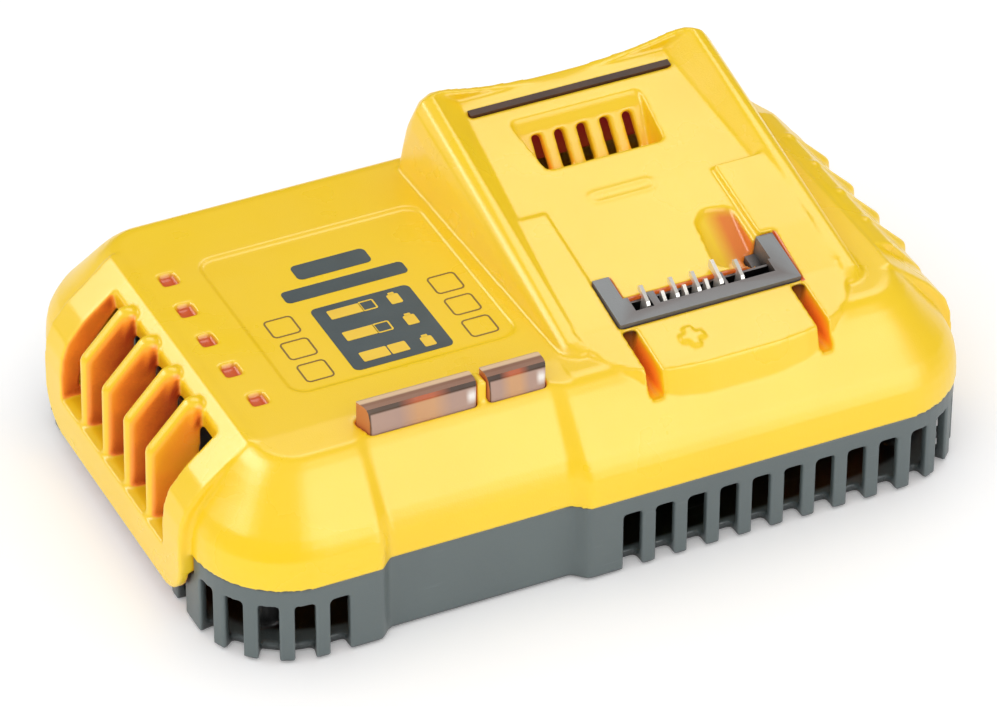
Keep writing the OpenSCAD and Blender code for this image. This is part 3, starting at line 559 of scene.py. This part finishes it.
def trayShadeRegions(tree):
    x, y, z = axesOf(tree, objectPlace(tree))
    total = 0.0
    for axis, half in ((x, trayShade["x"]), (y, trayShade["y"])):
        share = mathNode(tree, "DIVIDE", mathNode(tree, "ABSOLUTE", axis), half)
        total = mathNode(tree, "ADD", mathNode(tree, "POWER", share, trayShade["power"]), total)
    inside = product(
        tree,
        rangeNode(tree, total, *trayShade["rim"]),
        rangeNode(tree, z, trayShade["floor"] - trayShade["floorFade"], trayShade["floor"]),
    )
    return {"paint": [(inside, trayShade["tint"])]}


yellowPlastic = mouldedPlastic("yellowPlastic", yellowLook, shellRegions)
charcoalPlastic = mouldedPlastic("charcoalPlastic", charcoalLook, trayShadeRegions)
greyPlastic = mouldedPlastic("greyPlastic", greyLook)
blackPlastic = mouldedPlastic("blackPlastic", blackLook)


# metals

metalSetup = {
    "markLength": 160.0,
    "markAmount": 0.6,
    "pitch": 900.0,
    "drift": 160.0,
    "spread": 0.12,
    "bump": 0.15,
    "bumpDepth": 0.0001,
}


def turnedMetal(name, colour, second, rough, metallic=1.0):
    setup = metalSetup
    material, tree, shader = newMaterial(name)
    marks = useGroup(tree, handling, length=setup["markLength"], amount=setup["markAmount"])
    grain = useGroup(tree, mouldGrain, pitch=setup["pitch"], drift=setup["drift"])
    tint = blendColours(tree, grain["Mottle"], colour, second)
    roughness = rangeNode(tree, grain["Mottle"], 0.0, 1.0, rough, rough + setup["spread"])
    bump = bumpNode(tree, marks["Marks"], setup["bump"], setup["bumpDepth"])
    wire(tree, shader, baseColor=tint, roughness=roughness, metallic=metallic, normal=bump)
    return material


contactMetal = turnedMetal("contactMetal", rgb(250, 247, 240), rgb(238, 232, 222), 0.34, metallic=0.7)
screwSteel = turnedMetal("screwSteel", rgb(190, 190, 192), rgb(160, 160, 164), 0.3)
heatsinkMetal = turnedMetal("heatsinkMetal", rgb(200, 202, 206), rgb(180, 182, 186), 0.32)
copperWire = turnedMetal("copperWire", rgb(214, 130, 70), rgb(180, 95, 45), 0.25)


# plain finishes of the small and the hidden pieces

glossSetup = {"pitch": 1200.0, "drift": 90.0, "spread": 0.15, "bump": 0.2, "bumpDepth": 0.0001}


def plainGloss(name, colour, second, rough):
    setup = glossSetup
    material, tree, shader = newMaterial(name)
    grain = useGroup(tree, mouldGrain, pitch=setup["pitch"], drift=setup["drift"])
    tint = blendColours(tree, grain["Mottle"], colour, second)
    roughness = rangeNode(tree, grain["Height"], 0.0, 1.0, rough, rough + setup["spread"])
    bump = bumpNode(tree, grain["Height"], setup["bump"], setup["bumpDepth"])
    wire(tree, shader, baseColor=tint, roughness=roughness, normal=bump)
    return material


circuitBoard = plainGloss("circuitBoard", rgb(22, 92, 50), rgb(16, 74, 40), 0.3)
ferrite = plainGloss("ferrite", rgb(62, 62, 66), rgb(48, 48, 52), 0.6)
windingTape = plainGloss("windingTape", rgb(240, 180, 30), rgb(226, 160, 24), 0.4)
capacitorSleeve = plainGloss("capacitorSleeve", rgb(34, 40, 66), rgb(26, 30, 54), 0.25)
sealRubber = plainGloss("sealRubber", rgb(84, 50, 26), rgb(70, 42, 22), 0.5)
footRubber = plainGloss("footRubber", rgb(30, 30, 30), rgb(22, 22, 22), 0.75)
indicatorLens = plainGloss("indicatorLens", rgb(250, 140, 30), rgb(240, 110, 20), 0.3)


# light pipes: a front with a dark line above it, a painted orange glow over the LEDs and a painted
# highlight near each right end, a two-tone top whose pale back strip is a painted highlight, and an
# orange left end

pipeLook = {
    "front": rgb(184, 152, 140),
    # frontGlow and lineGlow: a painted orange glow where the LEDs sit behind the pipe.
    "frontGlow": rgb(226, 168, 108),
    "frontGlowShare": 0.7,
    "line": rgb(46, 20, 10),
    "lineGlow": rgb(184, 78, 22),
    "lineFrom": (0.0583, 0.0588),
    # clear: a painted white highlight near each pipe's right end.
    "clear": rgb(255, 250, 246),
    "clearAt": ((-0.0339, 0.0018), (-0.0141, 0.0016)),
    "glintHeights": (0.0548, 0.0575),
    "glintFade": 0.001,
    "edgeAt": ((-0.0627, 0.0005), (-0.0288, 0.0004)),
    "glowAt": ((-0.047, 0.0075), (-0.0215, 0.0042)),
    "topFront": rgb(146, 104, 84),
    # topBack: a painted highlight on the back strip of the top.
    "topBack": rgb(232, 198, 160),
    "topSplit": (-0.0513, -0.0507),
    "topFacing": (0.75, 0.92),
    "end": rgb(208, 122, 60),
    "endFacing": (-0.6, -0.85),
    "mottleShare": 0.12,
    "pitch": 500.0,
    "drift": 60.0,
    "rough": 0.3,
    "transmission": 0.1,
    "ior": 1.49,
    "shine": 0.2,
    "bump": 0.1,
    "bumpDepth": 0.0002,
}
spotCore = 0.3  # share of a spot's reach where its colour is full


def nearAny(tree, value, spots):
    share = 0.0
    for middle, reach in spots:
        away = mathNode(tree, "ABSOLUTE", mathNode(tree, "SUBTRACT", value, middle))
        share = mathNode(tree, "MAXIMUM", share, rangeNode(tree, away, reach, reach * spotCore))
    return share


def buildLightPipe():
    look = pipeLook
    material, tree, shader = newMaterial("lightPipe")
    grain = useGroup(tree, mouldGrain, pitch=look["pitch"], drift=look["drift"])
    x, y, z = axesOf(tree, objectPlace(tree))
    facing = facingAxes(tree)
    # Painted orange glow over each LED, on the front and on the dark line.
    glow = nearAny(tree, x, look["glowAt"])
    # Painted highlight near each right end, in the clear colour.
    clear = product(
        tree,
        nearAny(tree, x, look["clearAt"]),
        between(tree, z, *look["glintHeights"], look["glintFade"]),
    )
    line = blendColours(tree, glow, look["line"], look["lineGlow"])
    glowShare = product(tree, glow, look["frontGlowShare"])
    front = blendColours(tree, glowShare, look["front"], look["frontGlow"])
    front = blendColours(tree, nearAny(tree, x, look["edgeAt"]), front, look["line"])
    front = blendColours(tree, clear, front, look["clear"])
    front = blendColours(tree, rangeNode(tree, z, *look["lineFrom"]), front, line)
    top = blendColours(tree, rangeNode(tree, y, *look["topSplit"]), look["topFront"], look["topBack"])
    colour = blendColours(tree, rangeNode(tree, facing[2], *look["topFacing"]), front, top)
    colour = blendColours(tree, rangeNode(tree, facing[0], *look["endFacing"]), colour, look["end"])
    mottle = product(tree, grain["Mottle"], look["mottleShare"])
    wire(
        tree,
        shader,
        baseColor=blendColours(tree, mottle, colour, look["topBack"]),
        roughness=look["rough"],
        transmissionWeight=look["transmission"],
        ior=look["ior"],
        normal=bumpNode(tree, grain["Height"], look["bump"], look["bumpDepth"]),
        specularIorLevel=look["shine"],
    )
    return material


lightPipeClear = buildLightPipe()

fuseLook = {
    "colour": rgb(235, 240, 238),
    "second": rgb(222, 228, 226),
    "pitch": 400.0,
    "drift": 60.0,
    "rough": 0.08,
    "transmission": 0.6,
    "ior": 1.5,
}


def buildFuseGlass():
    look = fuseLook
    material, tree, shader = newMaterial("fuseGlass")
    grain = useGroup(tree, mouldGrain, pitch=look["pitch"], drift=look["drift"])
    tint = blendColours(tree, grain["Mottle"], look["colour"], look["second"])
    wire(
        tree,
        shader,
        baseColor=tint,
        roughness=look["rough"],
        transmissionWeight=look["transmission"],
        ior=look["ior"],
    )
    return material


fuseGlass = buildFuseGlass()
print("materials built")


# CAD nodes: finishes and rounded edges

finishes = {
    "top_shell": yellowPlastic,
    "base_tray": charcoalPlastic,
    "terminal_block": greyPlastic,
    "power_blades": contactMetal,
    "signal_blades": contactMetal,
    "light_pipe_long": lightPipeClear,
    "light_pipe_short": lightPipeClear,
    "indicator_board": circuitBoard,
    "indicator_leds": indicatorLens,
    "dock_seal": sealRubber,
    "main_board": circuitBoard,
    "riser_board": circuitBoard,
    "transformer_core": ferrite,
    "transformer_bobbin": windingTape,
    "bulk_capacitor": capacitorSleeve,
    "output_capacitors": capacitorSleeve,
    "filter_choke": ferrite,
    "choke_winding": copperWire,
    "filter_capacitor": windingTape,
    "mains_fuse": fuseGlass,
    "primary_heatsink": heatsinkMetal,
    "output_heatsink": heatsinkMetal,
    "switch_transistor": blackPlastic,
    "output_rectifier": blackPlastic,
    "fan_frame": blackPlastic,
    "fan_rotor": blackPlastic,
    "housing_screws": screwSteel,
    "board_screws": screwSteel,
    "rubber_feet": footRubber,
    "cord_gland": footRubber,
}
for name, material in finishes.items():
    slots = nodes[name].data.materials
    slots.clear()
    slots.append(material)

rounding = {"voxel": 0.6 * mm, "softness": 0.5, "passes": {"top_shell": 4, "base_tray": 3}}
for name, passes in rounding["passes"].items():
    remesh = nodes[name].modifiers.new("round", "REMESH")
    remesh.mode = "VOXEL"
    remesh.voxel_size = rounding["voxel"]
    remesh.use_smooth_shade = True
    smooth = nodes[name].modifiers.new("soften", "SMOOTH")
    smooth.factor = rounding["softness"]
    smooth.iterations = passes

bevels = {
    "width": 0.4 * mm,
    "segments": 2,
    "sharper": math.radians(40),
    "names": ("terminal_block", "light_pipe_long", "light_pipe_short", "fan_frame"),
}
for name in bevels["names"]:
    bevel = nodes[name].modifiers.new("bevel", "BEVEL")
    bevel.width = bevels["width"]
    bevel.segments = bevels["segments"]
    bevel.limit_method = "ANGLE"
    bevel.angle_limit = bevels["sharper"]
print("edges rounded")


# label print: plain plates, charge blocks and empty frames, in mm
# A plate or frame is (left, right, front, back, corner radius).

labelPrint = {"floor": 53.3, "frameLine": 0.45, "leastRadius": 0.1, "cornerSteps": 5}
emptyFrames = {"half": 4.1, "radius": 1.4, "across": (-64.3, -17.1), "along": (-2.4, -13.1, -23.8)}
packMarks = {
    "along": (-2.9, -13.3, -23.9),
    "body": (-34.0, -30.7, -2.6, 1.7, 0.5),
    "neck": (-33.2, -31.5, 1.6, 2.6, 0.2),
}
printLayers = {
    "label_dark": {
        "finish": plainGloss("labelDark", rgb(74, 86, 88), rgb(66, 78, 80), 0.45),
        "slot": "charcoal_plastic",
        "heights": (-0.15, 0.12),
        "plates": [
            (-55, -26.5, -28.5, 1.4, 1.8),
            (-58.9, -23.6, 6.4, 11.8, 1.4),
            (-51.8, -30.3, 15, 21.7, 1.6),
        ],
        "frames": [],
    },
    "label_light": {
        "finish": plainGloss("labelLight", rgb(248, 205, 40), rgb(242, 196, 36), 0.45),
        "slot": "yellow_plastic",
        "heights": (0.05, 0.2),
        "plates": [
            (-51.2, -41.9, -5.1, -1.1, 0.4),
            (-51.4, -42.5, -15.6, -11.5, 0.4),
            (-51.2, -43.5, -25.8, -21.6, 0.4),
            (-43.1, -38, -25.8, -21.6, 0.4),
        ],
        "frames": [(-42.1, -37.8, -5.2, -0.8, 0.6), (-42.7, -38.1, -15.8, -11.4, 0.6)],
    },
    "label_lines": {
        "finish": plainGloss("labelLines", rgb(140, 104, 36), rgb(126, 92, 34), 0.5),
        "slot": "charcoal_plastic",
        "heights": (-0.15, 0.1),
        "plates": [],
        "frames": [],
    },
}
for middle in packMarks["along"]:
    for x0, x1, y0, y1, radius in (packMarks["body"], packMarks["neck"]):
        printLayers["label_light"]["plates"].append((x0, x1, middle + y0, middle + y1, radius))
half = emptyFrames["half"]
for x in emptyFrames["across"]:
    for y in emptyFrames["along"]:
        square = (x - half, x + half, y - half, y + half, emptyFrames["radius"])
        printLayers["label_lines"]["frames"].append(square)


def roundedLoop(x0, x1, y0, y1, radius):
    left, right, front, back = x0 + radius, x1 - radius, y0 + radius, y1 - radius
    centres = [(right, front), (right, back), (left, back), (left, front)]
    steps = labelPrint["cornerSteps"]
    points = []
    for quarter, (x, y) in enumerate(centres):
        for step in range(steps + 1):
            turn = math.radians(90 * (quarter - 1 + step / steps))
            points.append((x + radius * math.cos(turn), y + radius * math.sin(turn)))
    return points


def innerLoop(x0, x1, y0, y1, radius):
    line = labelPrint["frameLine"]
    least = labelPrint["leastRadius"]
    return roundedLoop(x0 + line, x1 - line, y0 + line, y1 - line, max(radius - line, least))


def addPrint(shape, heights, outer, inner=None):
    rings = [
        [shape.verts.new((x * mm, y * mm, (labelPrint["floor"] + z) * mm)) for x, y in loop]
        for loop in (outer, inner)
        if loop
        for z in heights
    ]
    if inner:
        joined = [(0, 1), (1, 3), (3, 2), (2, 0)]
    else:
        joined = [(0, 1)]
        shape.faces.new(rings[0])
        shape.faces.new(rings[1])
    for a, b in joined:
        for i in range(len(outer)):
            j = (i + 1) % len(outer)
            shape.faces.new((rings[a][i], rings[a][j], rings[b][j], rings[b][i]))


for name, layer in printLayers.items():
    shape = bmesh.new()
    for plate in layer["plates"]:
        addPrint(shape, layer["heights"], roundedLoop(*plate))
    for border in layer["frames"]:
        addPrint(shape, layer["heights"], roundedLoop(*border), innerLoop(*border))
    bmesh.ops.recalc_face_normals(shape, faces=shape.faces)
    mesh = bpy.data.meshes.new(name)
    shape.to_mesh(mesh)
    shape.free()
    mesh.materials.append(layer["finish"])
    piece = bpy.data.objects.new(name, mesh)
    bpy.context.collection.objects.link(piece)
    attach(piece, "housing")
print("label print laid")


# floor and light

floorLook = {
    "half": 4,
    "colour": (0.95, 0.95, 0.955, 1),
    "second": (0.93, 0.93, 0.935, 1),
    "pitch": 900.0,
    "drift": 6.0,
    "rough": 0.7,
    "glow": 0.16,
}
white = (1.0, 1.0, 1.0, 1.0)
reach = floorLook["half"]
floorCorners = [(-reach, -reach, 0), (reach, -reach, 0), (reach, reach, 0), (-reach, reach, 0)]
floorMesh = bpy.data.meshes.new("floor")
floorMesh.from_pydata(floorCorners, [], [(0, 1, 2, 3)])
floor = bpy.data.objects.new("floor", floorMesh)
bpy.context.collection.objects.link(floor)
floorMaterial, floorTree, floorShader = newMaterial("floorPaper")
paper = useGroup(floorTree, mouldGrain, pitch=floorLook["pitch"], drift=floorLook["drift"])
wire(
    floorTree,
    floorShader,
    baseColor=blendColours(floorTree, paper["Mottle"], floorLook["colour"], floorLook["second"]),
    roughness=floorLook["rough"],
    emissionColor=white,
    emissionStrength=floorLook["glow"],
)
floorMesh.materials.append(floorMaterial)

skyStrength = 0.89
world = bpy.data.worlds.new("studio")
bpy.context.scene.world = world
world.use_nodes = True
plug(world.node_tree, world.node_tree.nodes["Background"], {"Color": white, "Strength": skyStrength})
world.cycles_visibility.glossy = False

lampTarget = Vector((0, 0, 0.03))
lamps = {
    "key": {"place": (-0.62, -0.8, 1.15), "size": (1.1, 1.1), "radiance": 1.1, "glossy": False},
    "sheenPlate": {"place": (0.44, 0.44, 1.04), "size": (0.9, 0.62), "radiance": 3.2, "diffuse": False},
    "sheenFront": {"place": (0.5, -1.0, 0.58), "size": (1.2, 0.8), "radiance": 3.5, "diffuse": False},
    "sheenLeft": {"place": (-0.85, 0.42, 0.78), "size": (0.5, 1.5), "radiance": 6.0, "diffuse": False},
}
for name, lamp in lamps.items():
    data = bpy.data.lights.new(name, "AREA")
    data.shape = "RECTANGLE"
    data.size, data.size_y = lamp["size"]
    data.energy = lamp["radiance"] * math.pi * data.size * data.size_y
    light = bpy.data.objects.new(name, data)
    light.visible_diffuse = lamp.get("diffuse", True)
    light.visible_glossy = lamp.get("glossy", True)
    light.location = lamp["place"]
    away = (Vector(lamp["place"]) - lampTarget).normalized()
    across = Vector((0, 1, 0)).cross(away).normalized()
    light.rotation_euler = Matrix((across, away.cross(across), away)).transposed().to_euler()
    bpy.context.collection.objects.link(light)
print("floor and light set")
